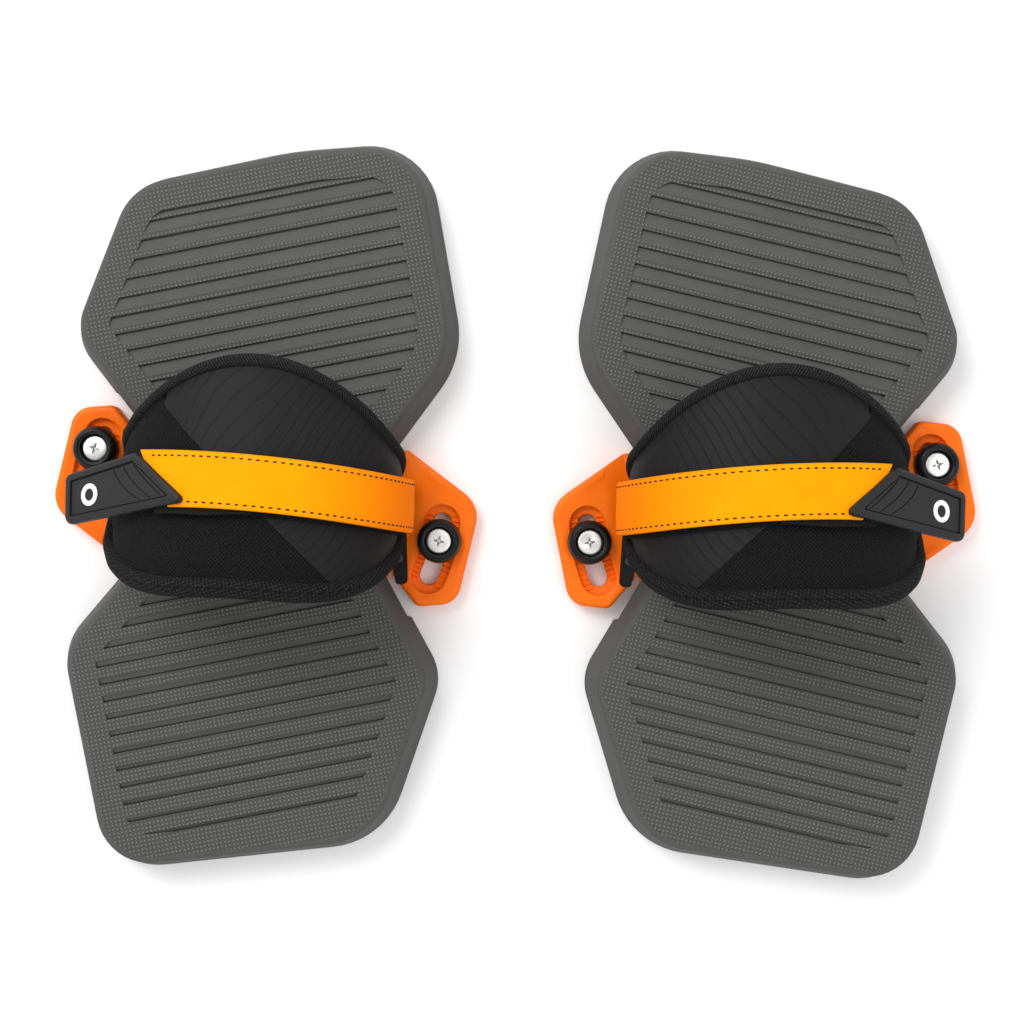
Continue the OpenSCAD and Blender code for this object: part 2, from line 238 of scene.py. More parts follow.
def ribbedMaterial(name, colour, thread, pitch, turn=0, deep=0.3):
    material = plainMaterial(name, colour, 0.9, Specular_IOR_Level=0.12)
    inputs = {
        "Vector": alongSurface(material, turn=turn), "Scale": 1 / (pitch * mm) / perWave,
        "Distortion": 0.25, "Detail": 1.0,
    }
    rib = addNode(material, "TexWave", inputs, bands_direction="X").outputs["Fac"]
    fuzz = speckle(material, 2200)
    lit = maths(material, "MULTIPLY", rib, between(material, fuzz, 0.3, 0.8))
    toShader(material, "Base Color", blendColours(material, lit, colour, thread))
    bumps(material, (fuzz, 0.07), (rib, deep))
    return material


def rubberMaterial():
    colour = (0.0075, 0.0075, 0.0083)
    material = plainMaterial("rubberisedFabric", colour, 0.6, Specular_IOR_Level=0.2)
    swell = {
        "Vector": alongSurface(material, turn=38), "Scale": 30, "Distortion": 9.0,
        "Detail": 0.5, "Detail Scale": 0.6,
    }
    wave = addNode(material, "TexWave", swell, wave_profile="SIN").outputs["Fac"]
    rising, falling = between(material, wave, 0.38, 0.46), between(material, wave, 0.62, 0.54)
    motif = maths(material, "MULTIPLY", rising, falling)
    toShader(material, "Base Color", blendColours(material, motif, colour, (0.0045, 0.0045, 0.005)))
    toShader(material, "Roughness", between(material, motif, 0, 1, (0.62, 0.56)))
    bumps(material, (speckle(material, 2400, 2), 0.05), (motif, -0.16))
    return material


def webbingMaterial():
    colour = (0.95, 0.31, 0.0)
    material = plainMaterial("orangeWebbing", colour, 0.72, Specular_IOR_Level=0.06)
    weave = {"Vector": alongSurface(material, turn=45), "Scale": 1 / (0.75 * mm), "Randomness": 0.0}
    thread = between(material, addNode(material, "TexVoronoi", weave).outputs["Distance"], 0.6, 0.15)
    cloud = between(material, speckle(material, 70), 0.3, 0.7)
    along = addNode(material, "SeparateXYZ", {0: alongSurface(material)}).outputs["X"]
    # painted shade: past the crest on one side, where the strap slopes down away from the lamps, the
    # webbing is painted a deeper red
    paintedShadeDownSlope = between(material, along, 0.02, 0.075)
    dyed = blendColours(material, cloud, colour, (0.95, 0.34, 0.0))
    toShader(material, "Base Color", blendColours(material, paintedShadeDownSlope, dyed, (0.95, 0.2, 0.0)))
    bumps(material, (speckle(material, 2500), 0.03), (thread, 0.05))
    return material


def pileMaterial(name, colour, lit):
    material = plainMaterial(name, colour, 0.97, Specular_IOR_Level=0.08)
    fuzz = between(material, speckle(material, 2600, 6), 0.35, 0.7)
    toShader(material, "Base Color", blendColours(material, fuzz, colour, lit))
    bumps(material, (fuzz, 0.5))
    return material


def mouldedMaterial(name, colour, roughness):
    material = plainMaterial(name, colour, roughness, Specular_IOR_Level=0.3)
    uneven(material, 120, roughness - 0.05, roughness + 0.1)
    bumps(material, (speckle(material, 2000), 0.04))
    return material


# ---- modelling helpers


def clearSelection():
    bpy.ops.object.select_all(action="DESELECT")


def choose(*pieces):
    clearSelection()
    for piece in pieces:
        piece.select_set(True)
    bpy.context.view_layer.objects.active = pieces[0]


def finishWith(piece, kind, **settings):
    choose(piece)
    modifier = piece.modifiers.new(kind, kind)
    for key, value in settings.items():
        setattr(modifier, key, value)
    bpy.ops.object.modifier_apply(modifier=modifier.name)


def bevelEdges(piece, width, angle):
    finishWith(
        piece, "BEVEL", width=width * mm, segments=2,
        limit_method="ANGLE", angle_limit=math.radians(angle),
    )


def closeUp(piece, holes=True):
    choose(piece)
    bpy.ops.object.mode_set(mode="EDIT")
    bpy.ops.mesh.select_all(action="SELECT")
    bpy.ops.mesh.remove_doubles(threshold=0.000001)
    if holes:
        bpy.ops.mesh.fill_holes(sides=0)
    bpy.ops.mesh.select_all(action="SELECT")
    bpy.ops.mesh.normals_make_consistent(inside=False)
    bpy.ops.object.mode_set(mode="OBJECT")
    return piece


def soften(piece, angle=35):
    choose(piece)
    bpy.ops.object.shade_smooth_by_angle(angle=math.radians(angle))
    return piece


def shapedGrid(name, columns, rows, place, surface=None):
    # a flat grid whose points go where place(s, t) says, in millimetres
    clearSelection()
    bpy.ops.mesh.primitive_grid_add(x_subdivisions=columns, y_subdivisions=rows, size=1)
    piece = bpy.context.object
    piece.name = name
    steps = [(v.co.x + 0.5, v.co.y + 0.5) for v in piece.data.vertices]
    for vertex, (s, t) in zip(piece.data.vertices, steps):
        vertex.co = Vector(place(s, t)) * mm
    layer = piece.data.uv_layers.active
    layer.name = "surface"
    for loop in piece.data.loops:
        s, t = steps[loop.vertex_index]
        layer.data[loop.index].uv = Vector(surface(s, t)) * mm if surface else Vector((s, t))
    return piece


def flatSurface(piece):
    # the piece's surface map as seen from above
    layer = piece.data.uv_layers.get("surface") or piece.data.uv_layers.new(name="surface")
    for loop in piece.data.loops:
        layer.data[loop.index].uv = piece.data.vertices[loop.vertex_index].co.xy
    return piece


def loft(name, rings):
    around = len(rings[0])
    last = len(rings) - 1

    def place(s, t):
        return rings[round(t * last)][round(s * around) % around]

    return closeUp(shapedGrid(name, around, last, place))


def turnedPiece(name, profile, steps, ringed=False):
    # profile is [radius, height]; a ringed one closes on itself round a hole
    last = len(profile) - 1
    lengths = [0.0]
    for k in range(last):
        lengths.append(lengths[-1] + math.dist(profile[k], profile[k + 1]))

    def place(s, t):
        radius, height = profile[round(t * last)]
        return (radius * math.cos(2 * math.pi * s), radius * math.sin(2 * math.pi * s), height)

    def surface(s, t):
        return (s * 30, lengths[round(t * last)])

    return closeUp(shapedGrid(name, steps, last, place, surface), holes=not ringed)


def cutAway(piece, cutter):
    finishWith(piece, "BOOLEAN", operation="DIFFERENCE", object=cutter, solver="EXACT")
    bpy.data.objects.remove(cutter)


def joinAll(pieces):
    choose(*pieces)
    bpy.ops.object.join()
    return pieces[0]


def moved(piece, matrix):
    piece.data.transform(matrix)
    return piece


def spun(degrees):
    return Matrix.Rotation(math.radians(degrees), 4, "Z")


def shifted(x, y, z):
    return Matrix.Translation(Vector((x, y, z)) * mm)


def roundedOutline(corners, inset=0, steps=10):
    # arcs round the corners; the outline moves in by inset
    points = []
    for k, (x, y, radius) in enumerate(corners):
        corner = Vector((x, y))
        toLast = (Vector(corners[k - 1][:2]) - corner).normalized()
        toNext = (Vector(corners[(k + 1) % len(corners)][:2]) - corner).normalized()
        side = 1 if toLast.cross(toNext) < 0 else -1
        half = toLast.angle(toNext) / 2
        inward = (toLast + toNext).normalized()
        bend = max(radius - side * inset, 0.4)
        centre = corner + inward * (side * inset + bend) / math.sin(half)
        middle = math.atan2(-inward.y, -inward.x)
        sweep = side * (math.pi / 2 - half)
        for i in range(steps + 1):
            angle = middle + sweep * (2 * i / steps - 1)
            points.append(centre + bend * Vector((math.cos(angle), math.sin(angle))))
    return points


def ringAt(corners, inset, z, steps=10):
    return [(p.x, p.y, z) for p in roundedOutline(corners, inset, steps)]


def fitPair(master, name, body, nodes=(), declare=None):
    # places the finished master on both bindings; closure pieces get their place baked into the mesh
    # instead of a body
    for side in bindings:
        piece = master.copy()
        piece.data = master.data.copy()
        bpy.context.scene.collection.objects.link(piece)
        piece.name = side + "_" + name
        piece.data.name = piece.name
        place = bindingPlace(side)
        piece.data.transform(place)
        if bindings[side]["flip"] < 0:
            piece.data.flip_normals()
        if body == "bend":
            start = place @ (strapPoint(closure["bendFrom"], bandMid(0), closure["bendAt"]) * mm)
            end = place @ (strapPoint(closure["bendTo"], bandMid(0), closure["bendAt"]) * mm)
            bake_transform(piece)
        else:
            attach(piece, side + "_" + body)
        if nodes:
            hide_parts(*[side + "_" + node for node in nodes])
        if declare:
            declare(piece)
    bpy.data.objects.remove(master)


# ---- footpad

footpad = {
    "corners": [
        [-98, -142, 27], [22, -152.5, 35], [60.5, -86, 22], [36, -8, 35],
        [96, 47, 40], [98, 142, 30], [40, 148.7, 150], [-31, 147.5, 30],
        [-68.5, 88, 22], [-31, 12, 35], [-98.5, -42, 25],
    ],
    "height": 20, "lean": 4.2, "shoulder": 3.0, "field": 17,
    "toeWall": 127.3, "toeCount": 14, "heelWall": -32.0, "heelCount": 15, "pitch": 7.4,
    "toeWidth": 5.2, "heelWidth": [3.4, 1.7],
    "bar": [160, 62.6, 4.8], "barTurn": -25.3, "reach": 130,
}


def grooveCutter(wall, width, toward, farDepth):
    # a saw-tooth channel: sheer at its wall, rising towards the far side
    top = footpad["height"]
    profile = [(0, 2), (0, -1.9), (0.28, -1.9), (0.6, -1.2), (width, -farDepth), (width, 2)]

    def place(s, t):
        across, rise = profile[round(s * len(profile)) % len(profile)]
        return (footpad["reach"] * (2 * t - 1), wall + toward * across, top + rise)

    return closeUp(shapedGrid("groove", len(profile), 1, place))


def makeFootpad():
    shape = footpad
    rings = [(0.5, 0), (0, 0.5), (shape["lean"], shape["height"] - shape["shoulder"])]
    for k in range(1, 6):
        angle = math.radians(18 * k)
        inset = shape["lean"] + shape["shoulder"] * (1 - math.cos(angle))
        rings.append((inset, shape["height"] - shape["shoulder"] * (1 - math.sin(angle))))
    piece = loft("footpad", [ringAt(shape["corners"], inset, z) for inset, z in rings])
    channels = [grooveCutter(shape["toeWall"] + 3.2, 2.4, -1, 0.4)]
    for k in range(shape["toeCount"]):
        wall = shape["toeWall"] - k * shape["pitch"]
        channels.append(grooveCutter(wall, shape["toeWidth"], -1, 0.06))
    for k in range(shape["heelCount"]):
        share = k / (shape["heelCount"] - 1)
        width = shape["heelWidth"][0] + share * (shape["heelWidth"][1] - shape["heelWidth"][0])
        channels.append(grooveCutter(shape["heelWall"] - k * shape["pitch"], width, 1, 0.6))
    cutter = joinAll(channels)
    field = loft("field", [ringAt(shape["corners"], shape["field"], z) for z in (14, 30)])
    finishWith(cutter, "BOOLEAN", operation="INTERSECT", object=field, solver="EXACT")
    bpy.data.objects.remove(field)
    cutAway(piece, cutter)
    bpy.ops.mesh.primitive_cube_add(size=1, scale=[size * mm for size in shape["bar"]])
    recess = bpy.context.object
    bpy.ops.object.transform_apply(scale=True)
    moved(recess, spun(shape["barTurn"]) @ shifted(0, 0, shape["bar"][2] / 2 - 0.01))
    cutAway(piece, recess)
    piece.data.materials.clear()
    piece.data.materials.append(foamMaterial())
    flatSurface(soften(piece, 30))
    fitPair(piece, "footpad", "binding", ["footpad"], lambda made: made)
    print("footpads made")


# ---- chassis

chassis = {
    "corners": [
        [46.5, -37, 3], [55.5, -55, 4], [72.5, -57, 9], [90.6, -17.4, 13],
        [65, 11.5, 2.5], [60.5, 13, 2], [46.5, -3, 3],
    ],
    "anchor": [[48.5, -44, 1.5], [53.5, -44, 2], [60, -4, 3], [51, -4, 2]],
    "turn": -25.3, "slotRadius": 76.2, "ledge": 5.0, "recess": [15, 38.7], "slot": 8.1,
    "bar": [116, 62, 4.5], "toothStep": 1.6, "toothSpan": 11.2, "toothAt": 5.75,
}


def slotRing(width, length, z, steps=12):
    # anticlockwise round an arc-shaped slot with round ends
    radius = chassis["slotRadius"]
    half = (length - width) / 2 / radius
    sweep = [-half + 2 * half * i / steps for i in range(steps + 1)]
    endX, endY = radius * math.cos(half), radius * math.sin(half)

    def arc(reach, angles):
        return [(reach * math.cos(angle), reach * math.sin(angle), z) for angle in angles]

    def roundEnd(start, y):
        angles = [start + math.pi * i / steps for i in range(1, steps)]
        return [(endX + px, y + py, pz) for px, py, pz in arc(width / 2, angles)]

    outer, inner = arc(radius + width / 2, sweep), arc(radius - width / 2, sweep[::-1])
    return outer + roundEnd(half, endY) + inner + roundEnd(math.pi - half, -endY)


def slotCutter(sizes):
    return moved(loft("slot", [slotRing(w, l, z) for w, l, z in sizes]), spun(chassis["turn"]))


def ledgeTooth(angle, side):
    middle = chassis["slotRadius"] + side * chassis["toothAt"]
    corners = [(-0.72, -0.15), (0.72, -0.15), (0.12, 0.85), (-0.12, 0.85)]

    def place(s, t):
        across, rise = corners[round(s * 4) % 4]
        return (middle - 1.72 + 3.44 * t, across, chassis["ledge"] + rise)

    return moved(closeUp(shapedGrid("tooth", 4, 1, place)), spun(chassis["turn"] + angle))


def makeWing():
    rings = [(0.6, 0), (0, 0.6), (0, 6.2), (0.25, 7.3), (0.9, 8.1), (1.9, 8.4), (3.1, 8.3), (4.6, 7.8)]
    wing = loft("wing", [ringAt(chassis["corners"], inset, z, 8) for inset, z in rings])
    width, length = chassis["recess"]
    cutAway(wing, slotCutter([(width, length, 5), (width, length, 7.3), (width + 3, length + 3, 8.8)]))
    straight = chassis["slot"]
    through = length - width + straight
    flare = (straight + 2, through + 2, 5.5)
    cutAway(wing, slotCutter([(straight, through, -1), (straight, through, 4.5), flare]))
    slope = [(0, 8), (0, 30), (-60, 30), (-60, 5.5), (-10, 5.5)]

    def place(s, t):
        x, z = slope[round(s * len(slope)) % len(slope)]
        return (chassis["slotRadius"] - 12 + x, -70 + 140 * t, z)

    cutAway(wing, moved(closeUp(shapedGrid("slope", len(slope), 1, place)), spun(chassis["turn"])))
    cutAway(wing, loft("pocket", [ringAt(chassis["anchor"], -0.3, z) for z in (4.9, 20)]))
    bevelEdges(wing, 0.35, 40)
    count = round(2 * chassis["toothSpan"] / chassis["toothStep"])
    angles = [-chassis["toothSpan"] + k * chassis["toothStep"] for k in range(count + 1)]
    teeth = [ledgeTooth(angle, side) for angle in angles for side in (-1, 1)]
    return joinAll([wing] + teeth)


def makeChassis():
    medial = makeWing()
    lateral = medial.copy()
    lateral.data = medial.data.copy()
    bpy.context.scene.collection.objects.link(lateral)
    moved(lateral, spun(180))
    clearSelection()
    bpy.ops.mesh.primitive_cube_add(size=1, scale=[size * mm for size in chassis["bar"]])
    bar = bpy.context.object
    bpy.ops.object.transform_apply(scale=True)
    moved(bar, spun(chassis["turn"]) @ shifted(0, 0, chassis["bar"][2] / 2))
    finishWith(bar, "BEVEL", width=0.6 * mm, segments=3)
    bar.data.uv_layers[0].name = "surface"
    piece = joinAll([medial, lateral, bar])
    piece.data.materials.clear()
    orange, worn = (0.96, 0.15, 0.0), (0.96, 0.18, 0.0)
    piece.data.materials.append(nylonMaterial("orangeNylon", orange, 0.45, worn))
    flatSurface(soften(piece, 38))
    fitPair(piece, "chassis", "binding", ["chassis"])
    print("chassis made")


# ---- fasteners

fastener = {"medial": [0, 2.9], "lateral": [180, -4.5], "screwTop": 13.1, "steps": 96}


def washerShape():
    profile = [(3.2, 6.2), (7.0, 6.2), (7.2, 6.4), (7.2, 8.3), (9.1, 8.3), (9.5, 8.7), (9.5, 11.0)]
    for k in range(1, 9):
        angle = math.radians(90 * k / 8)
        profile.append((7.1 + 2.4 * math.cos(angle), 11.0 + 4.8 * math.sin(angle)))
    profile += [(6.75, 15.72), (6.5, 15.4), (6.35, 14.9), (6.1, 12.4), (3.2, 9.8), (3.2, 6.2)]
    return turnedPiece("washer", profile, fastener["steps"], ringed=True)


def screwShape():
    top = fastener["screwTop"]
    profile = [
        (0, top), (1.5, top), (3.0, top - 0.02), (4.6, top - 0.08), (5.2, top - 0.25),
        (5.55, top - 0.5), (5.65, top - 0.8), (5.6, top - 1.0), (3.0, top - 3.3),
        (3.0, 0.6), (2.6, 0.2), (0, 0.2),
    ]
    screw = turnedPiece("screw", profile, fastener["steps"])
    star = []
    for k in range(4):
        base = math.pi / 2 * k
        for reach, lean in ((2.35, -0.11), (2.35, 0.11), (0.85, math.pi / 4)):
            star.append((reach, base + lean))
    rings = []
    for z, size in ((top - 2.1, 0.3), (top - 0.6, 0.85), (top + 0.4, 1.08)):
        rings.append([(size * r * math.cos(a), size * r * math.sin(a), z) for r, a in star])
    cutAway(screw, loft("recess", rings))
    return screw


def makeFasteners():
    for name in ("medial", "lateral"):
        side, offset = fastener[name]
        place = spun(chassis["turn"] + side + offset) @ shifted(chassis["slotRadius"], 0, 0)
        washer = washerShape()
        black, worn = (0.006, 0.006, 0.0065), (0.011, 0.011, 0.012)
        washer.data.materials.append(nylonMaterial("blackNylon", black, 0.34, worn))
        moved(soften(washer, 40), place)
        fitPair(washer, name + "_washer", name + "_fastener", [name + "_washer"])
        screw = screwShape()
        screw.data.materials.append(steelMaterial("stainlessSteel", (0.78, 0.77, 0.75), 0.26))
        moved(soften(screw, 30), place)
        fitPair(screw, name + "_screw", name + "_fastener", [name + "_screw"])
    plate = mouldedMaterial("anchorPlate", (0.005, 0.005, 0.005), 0.75)
    dark = plainMaterial("blackenedSteel", (0.09, 0.09, 0.1), 0.42, Metallic=1.0)
    bumps(dark, (speckle(dark, 1200), 0.02))
    for side in bindings:
        hidden = {"medial_anchor": plate, "lateral_anchor": plate, "anchor_screws": dark}
        for node, material in hidden.items():
            mesh = frame["nodes"][side + "_" + node].data
            mesh.materials.clear()
            mesh.materials.append(material)
    print("fasteners made")


# ---- strap: th runs over the foot from the outer side, w along it to the toes

strap = {
    "turn": -14, "ankleHalf": 61, "toeHalf": 58, "ankleCrest": 88, "toeCrest": 70,
    "middle": 30, "drop": 62, "end": 108, "toeTape": 5, "ankleTape": 8,
    "outer": -1.8, "inner": -10.2, "voxel": 4.2, "cap": 1.1, "pressure": 4.0,
    "arc": 62, "sheet": (0.135, 0.1), "seamLap": 1.5,
}


def crown(th):
    return max(0.0, math.cos(math.radians(th)))


def footTaper(th):
    return max(0.0, min(1.0, (abs(th) - 85) / (strap["end"] - 85)))


def toeEdge(th):
    return 26 + 34 * crown(th) ** 1.7 - 7 * footTaper(th)


def ankleEdge(th):
    return -12 - 30 * crown(th) ** 0.7 + 6 * crown(th) ** 6 + 2 * footTaper(th)


def strapPoint(th, w, h=0.0):
    v = (w - ankleEdge(th)) / (toeEdge(th) - ankleEdge(th))
    half = strap["ankleHalf"] + v * (strap["toeHalf"] - strap["ankleHalf"]) + h
    crest = strap["ankleCrest"] + v * (strap["toeCrest"] - strap["ankleCrest"])
    angle = math.radians(th)
    rise = (crest - strap["middle"] + h) if math.cos(angle) > 0 else strap["drop"] + h
    point = Vector((2 * v + half * math.sin(angle), w, strap["middle"] + rise * math.cos(angle)))
    point.rotate(Matrix.Rotation(math.radians(strap["turn"]), 3, "Z"))
    return point


def seamAt(th):
    return 4.5 - 0.89 * strap["ankleHalf"] * math.sin(math.radians(th))


def bandMid(th):
    lean = math.sin(math.radians(th))
    return 9 - 2 * lean - 4 * lean ** 2


def smoothStep(value):
    value = max(0.0, min(1.0, value))
    return value * value * (3 - 2 * value)


def sectionPoints(width, height, radius, across):
    # a box section with round corners, from its lower left, as offsets from its middle
    radius = min(radius, width / 2 - 0.01, height / 2 - 0.01)
    corners = [(1, 1, 0), (-1, 1, 90), (-1, -1, 180), (1, -1, 270)]
    points = []
    for sideX, sideY, start in corners:
        cx, cy = sideX * (width / 2 - radius), sideY * (height / 2 - radius)
        for k in range(4):
            angle = math.radians(start + 30 * k)
            points.append((cx + radius * math.cos(angle), cy + radius * math.sin(angle)))
        if sideY == sideX:
            run = width - 2 * radius
            for k in range(1, across):
                points.append((cx - sideX * run * k / across, cy + sideY * radius))
    return points


def strapBand(
    name, fromTh, toTh, steps, low, high, bottom, top, radius=1.0, across=6, ripple=0.0, slant=0.0,
):
    # a closed band over the strap; low and high change with th, slant skews its first end
    count = len(sectionPoints(10, 5, 1, across))

    def place(s, t):
        th = fromTh + (toTh - fromTh) * t
        lowW, highW = low(th), high(th)
        lowH, highH = bottom(th), top(th)
        section = sectionPoints(highW - lowW, highH - lowH, radius, across)
        x, y = section[round(s * count) % count]
        wave = ripple * noise.noise(Vector((th / 9, x / 6, y / 9)))
        th += slant * 2 * x / (highW - lowW) * (1 - t) ** 3
        return strapPoint(th, (lowW + highW) / 2 + x, (lowH + highH) / 2 + y + wave)

    def surface(s, t):
        th = fromTh + (toTh - fromTh) * t
        return (math.radians(th) * strap["arc"], s * 2 * (high(0) - low(0) + top(0) - bottom(0)))

    return closeUp(shapedGrid(name, count, steps, place, surface))


def strapPanel(name, fromTh, toTh, steps, across, low, high, thickness, lift):
    # one sheet stretched over the padding, dipping where it is sewn in at its edges
    def place(s, t):
        th = fromTh + (toTh - fromTh) * s
        w = low(th) + (high(th) - low(th)) * t
        edge = min(w - bodyLow(th), bodyHigh(th) - w)
        dip = 1.1 * (1 - smoothStep(edge / 9))
        crease = 0.35 * (0.5 + 0.5 * noise.noise(Vector((th / 13, w / 11, 3.7))))
        return strapPoint(th, w, lift - dip - crease)

    def surface(s, t):
        th = fromTh + (toTh - fromTh) * s
        return (math.radians(th) * strap["arc"], low(th) + (high(th) - low(th)) * t)

    piece = shapedGrid(name, steps, across, place, surface)
    area = sum(face.area for face in piece.data.polygons)
    closeUp(piece, holes=False)
    finishWith(piece, "SOLIDIFY", thickness=thickness * mm, offset=-1.0)
    bevelEdges(piece, 0.25, 60)
    return soften(piece, 50), area


def bodyLow(th):
    return ankleEdge(th) + strap["ankleTape"] - 0.4


def bodyHigh(th):
    return toeEdge(th) - strap["toeTape"] + 0.4


def puffed(piece):
    # the padding swells against its cover, held to a small cap
    start = [v.co.copy() for v in piece.data.vertices]
    choose(piece)
    cloth = piece.modifiers.new("Cloth", "CLOTH")
    cloth.settings.use_pressure = True
    cloth.settings.uniform_pressure_force = strap["pressure"]
    cloth.settings.effector_weights.gravity = 0
    cloth.settings.quality = 5
    for number in range(1, 21):
        bpy.context.scene.frame_set(number)
    bpy.ops.object.modifier_apply(modifier=cloth.name)
    bpy.context.scene.frame_set(1)
    for vertex, rest in zip(piece.data.vertices, start):
        move = vertex.co - rest
        if move.length > strap["cap"] * mm:
            vertex.co = rest + move.normalized() * strap["cap"] * mm


def makeStrapBody():
    end = strap["end"]
    piece = strapBand(
        "strapBody", -end, end, 90, lambda th: bodyLow(th) + 0.6, lambda th: bodyHigh(th) - 0.6,
        lambda th: strap["inner"], lambda th: strap["outer"], radius=3.2, across=14,
    )
    finishWith(piece, "REMESH", mode="VOXEL", voxel_size=strap["voxel"] * mm)
    puffed(piece)
    finishWith(piece, "SUBSURF", levels=1, render_levels=1)
    closeUp(piece, holes=False)
    piece.data.materials.append(knitInSpace("liningKnit", (0.009, 0.009, 0.009), (0.03, 0.03, 0.03)))
    soften(piece, 60)
    fitPair(piece, "strap_body", "binding", ["strap_foam", "strap_lining"],
            lambda made: made)
    print("strap padding made")


def knitInSpace(name, colour, thread):
    # a knit that needs no surface map, for remeshed padding
    material = plainMaterial(name, colour, 0.93, Specular_IOR_Level=0.12)
    cells = {"Vector": inSpace(material), "Scale": 900, "Randomness": 0.35}
    loop = between(material, addNode(material, "TexVoronoi", cells).outputs["Distance"], 0.6, 0.1)
    toShader(material, "Base Color", blendColours(material, loop, colour, thread))
    bumps(material, (speckle(material, 2200), 0.08), (loop, 0.2))
    return material


def coverPadding(piece, name, area):
    # each panel is one sheet, stretched over the padding of its own side
    def declare(made):
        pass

    fitPair(piece, name, "binding", [name], declare)
    print(name, "area", round(area, 5))


def makePanels():
    end, under = strap["end"], strap["seamLap"]
    mesh, area = strapPanel(
        "meshPanel", -end, 37, 90, 34,
        bodyLow, lambda th: min(bodyHigh(th), seamAt(th) + under), 0.9, -0.35,
    )
    black, thread = (0.004, 0.004, 0.004), (0.022, 0.022, 0.023)
    mesh.data.materials.append(knitMaterial("blackMesh", black, thread, 1.25, 45, 0.4))
    coverPadding(mesh, "mesh_panel", area)
    rubber, area = strapPanel(
        "rubberPanel", -39, end, 90, 34,
        lambda th: max(bodyLow(th), seamAt(th)), bodyHigh, 1.0, -0.05,
    )
    rubber.data.materials.append(rubberMaterial())
    coverPadding(rubber, "rubber_panel", area)


def makeTapes():
    end = strap["end"]
    toe = strapBand(
        "toeTape", -end, end, 150, lambda th: toeEdge(th) - strap["toeTape"], toeEdge,
        lambda th: -11.2, lambda th: 0.75, radius=2.4, across=4, ripple=0.15,
    )
    black, thread = (0.007, 0.007, 0.007), (0.06, 0.06, 0.062)
    toe.data.materials.append(ribbedMaterial("knitTape", black, thread, 1.2, 25, 0.45))
    fitPair(soften(toe, 60), "toe_tape", "binding", ["toe_tape"])
    ankle = strapBand(
        "ankleTape", -end, end, 170, ankleEdge, lambda th: ankleEdge(th) + strap["ankleTape"],
        lambda th: -11.6, lambda th: 1.2, radius=3.8, across=4, ripple=0.5,
    )
    black, thread = (0.004, 0.004, 0.004), (0.045, 0.045, 0.047)
    ankle.data.materials.append(knitMaterial("trimKnit", black, thread, 1.5, 20, 0.5))
    fitPair(soften(ankle, 60), "ankle_tape", "binding", ["ankle_tape"],
            lambda made: made)
    print("edge tapes made")


# ---- closure

closure = {
    "width": 22, "free": -33, "sewn": 86, "lip": 3.0, "low": 3.4, "high": 5.0, "sewnLow": 2.0,
    "bendFrom": 5, "bendTo": -9, "bendAt": 4.5, "round": 3.5, "slant": -8.5,
    "stitchIn": 2.1, "stitchPitch": 3.1, "stitch": [0.95, 0.4, 0.3],
}


def stitchAt(th, w, h, template):
    # one stitch lying on the strap's outer face, along the closure
    along = (strapPoint(th + 0.5, w, h) - strapPoint(th - 0.5, w, h)).normalized()
    across = (strapPoint(th, w + 1, h) - strapPoint(th, w - 1, h)).normalized()
    up = along.cross(across).normalized()
    if up.dot(strapPoint(th, w, h + 1) - strapPoint(th, w, h)) < 0:
        up = -up
    across = up.cross(along)
    turn = Matrix((along, across, up)).transposed().to_4x4()
    piece = template.copy()
    piece.data = template.data.copy()
    bpy.context.scene.collection.objects.link(piece)
    return moved(piece, shifted(*strapPoint(th, w, h)) @ turn)


def stitchTemplate(sizes):
    clearSelection()
    bpy.ops.mesh.primitive_uv_sphere_add(segments=8, ring_count=5, radius=1)
    template = bpy.context.object
    template.data.uv_layers[0].name = "surface"
    template.data.transform(Matrix.Diagonal((*[size * mm for size in sizes], 1)))
    for face in template.data.polygons:
        face.use_smooth = True
    return template


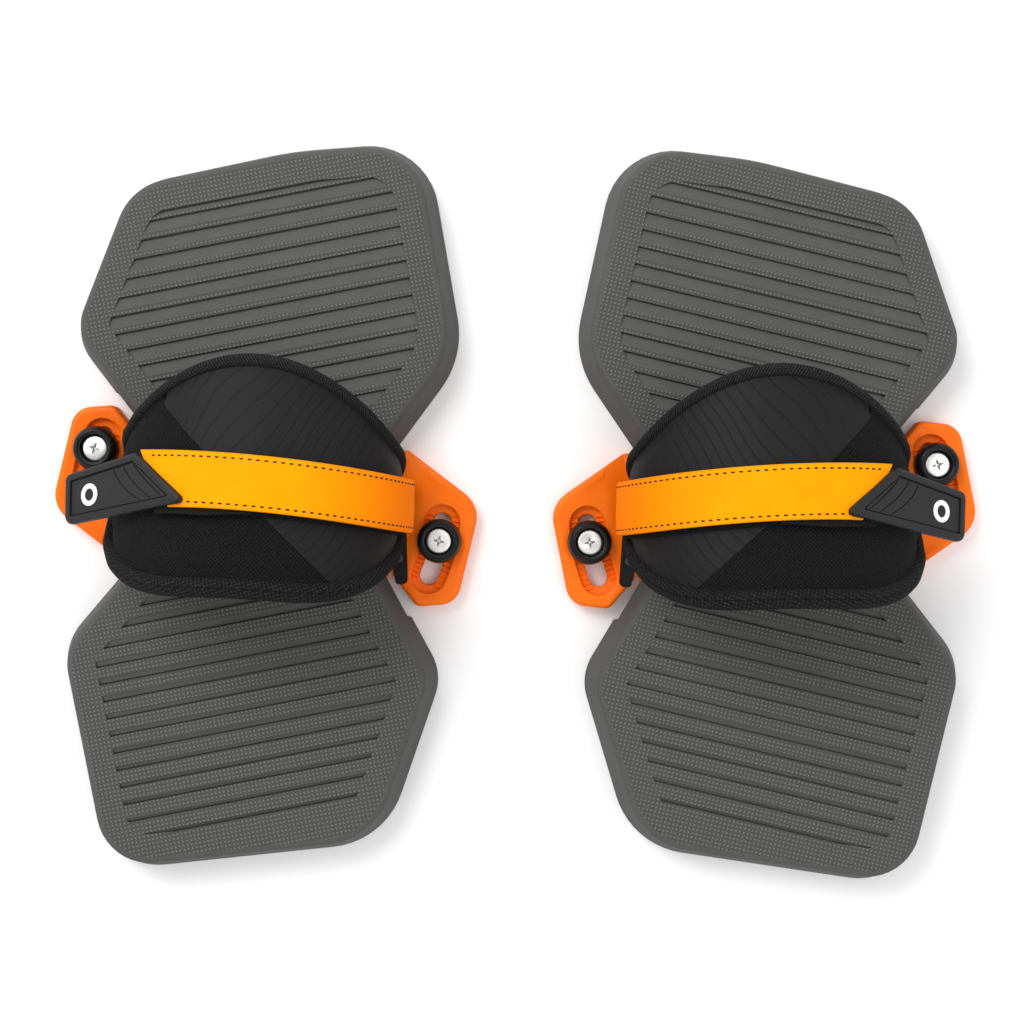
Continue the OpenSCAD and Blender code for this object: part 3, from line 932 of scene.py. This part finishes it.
def makeClosure():
    half = closure["width"] / 2
    free, sewn, lip = closure["free"], closure["sewn"], closure["lip"]
    degree = math.radians(strap["arc"])

    def toeSide(th):
        return bandMid(th) + half

    def loopSide(th):
        return max(bandMid(th) - half - lip / 2, bodyLow(th) + 0.4)

    def hookSide(th):
        return bandMid(th) - half - lip + 1.5 * smoothStep((th + 14) / 18)

    band = strapBand(
        "loopBand", free, sewn + 2, 80, loopSide, toeSide,
        lambda th: 0.3, lambda th: 1.7, radius=0.55, across=8,
    )
    band.data.materials.append(pileMaterial("loopPile", (0.005, 0.005, 0.005), (0.022, 0.022, 0.022)))
    fitPair(soften(band, 60), "loop_band", "binding", ["loop_band"])
    backing = strapBand(
        "hookBacking", free, 4.5, 50, hookSide, toeSide,
        lambda th: 2.0, lambda th: 3.1, radius=0.5, across=8,
    )
    black, thread = (0.005, 0.005, 0.005), (0.026, 0.026, 0.026)
    backing.data.materials.append(knitMaterial("hookTape", black, thread, 0.9, 0, 0.3, 0.8))
    fitPair(soften(backing, 60), "hook_backing", "bend", ["hook_backing"])

    def underside(th):
        return closure["low"] - (closure["low"] - closure["sewnLow"]) * smoothStep((th - 5.5) / 6)

    def endRound(th):
        # rounds the corners of the sewn end
        near = max(0.0, 1 - (sewn - th) * degree / closure["round"])
        return closure["round"] * (1 - math.sqrt(max(0.0, 1 - near * near)))

    webbing = strapBand(
        "closureStrap", free - 1, sewn, 180,
        lambda th: bandMid(th) - half + endRound(th), lambda th: bandMid(th) + half - endRound(th),
        underside, lambda th: closure["high"],
        radius=0.6, across=8, ripple=0.12, slant=closure["slant"],
    )
    webbing.data.materials.append(webbingMaterial())
    fitPair(soften(webbing, 60), "closure_strap", "bend", ["closure_sewn", "closure_free"])
    template = stitchTemplate(closure["stitch"])
    rows = []
    steps = round((sewn - 1 - free) * degree / closure["stitchPitch"])
    for k in range(steps + 1):
        th = free - 2 + (sewn - 3 - free + 2) * k / steps
        for side in (-1, 1):
            # the tab covers the start of the ankle side's row
            if side < 0 and th < free + 12:
                continue
            w = bandMid(th) + side * (half - closure["stitchIn"])
            rows.append(stitchAt(th, w, closure["high"], template))
    bpy.data.objects.remove(template)
    stitches = joinAll(rows)
    stitches.data.materials.append(plainMaterial("darkThread", (0.05, 0.012, 0.004), 0.8))
    fitPair(stitches, "closure_stitches", "bend")
    print("closure made")


# ---- pull tab

tab = {
    "corners": [[-14, 12, 1.8], [10.5, -12, 2.2], [50, -10.5, 3], [52, 10, 4]],
    "height": 3.4, "lean": 32, "heading": 195, "roll": 12, "lift": 0.3,
    "ribs": [5, 10.5, 16], "ribHalf": 7.4, "ring": [2.5, 4.5], "ringAt": 37, "ringEdge": 0.12,
}


def tabPlace():
    free = closure["free"]
    root = strapPoint(free + 2, bandMid(free), closure["low"] + tab["lift"])
    lean = Matrix.Rotation(math.radians(tab["lean"]), 4, "Y")
    roll = Matrix.Rotation(math.radians(tab["roll"]), 4, "X")
    return shifted(*root) @ spun(strap["turn"] + tab["heading"]) @ lean @ roll


def makeTab():
    top = tab["height"]
    rings = [
        (0.7, 0), (0.2, 0.4), (0, 1.0), (0, top - 1.1), (0.2, top - 0.5), (0.7, top - 0.1), (1.3, top),
        (2.9, top), (3.1, top - 0.2), (3.2, top - 1.3), (3.6, top - 1.3), (3.7, top - 0.75),
    ]
    piece = loft("pullTab", [ringAt(tab["corners"], inset, z, 6) for inset, z in rings])
    for offset in tab["ribs"]:
        profile = [(-0.28, 2), (-0.28, -1.3), (0.28, -1.3), (0.28, 2)]

        def place(s, t):
            x, z = profile[round(s * 4) % 4]
            lean = 1 - 2 * t
            along = offset - 9 * lean * 0.75 + 2.2 * (1 - lean * lean) * (offset / tab["ribs"][-1])
            return (along + x, tab["ribHalf"] * lean, top + z)

        cutAway(piece, closeUp(shapedGrid("rib", 4, 10, place)))
    piece.data.materials.clear()
    piece.data.materials.append(mouldedMaterial("tabRubber", (0.012, 0.012, 0.013), 0.5))
    moved(flatSurface(soften(piece, 30)), tabPlace())
    fitPair(piece, "pull_tab", "closure", ["pull_tab"])
    inner, outer = tab["ring"]
    low, high = top - 0.8, top - 0.3
    edge = tab["ringEdge"]
    profile = [
        (inner, low), (inner, high - edge), (inner + edge, high), (outer - edge, high),
        (outer, high - edge), (outer, low), (inner, low),
    ]
    ring = turnedPiece("emblem", profile, 72, ringed=True)
    ring.data.materials.append(mouldedMaterial("whitePrint", (0.86, 0.86, 0.86), 0.5))
    moved(soften(ring, 40), tabPlace() @ shifted(tab["ringAt"], 0, 0))
    fitPair(ring, "tab_emblem", "closure", ["tab_emblem"])
    print("pull tabs made")


setStage()
makeFootpad()
makeChassis()
makeFasteners()
makeStrapBody()
makePanels()
makeTapes()
makeClosure()
makeTab()
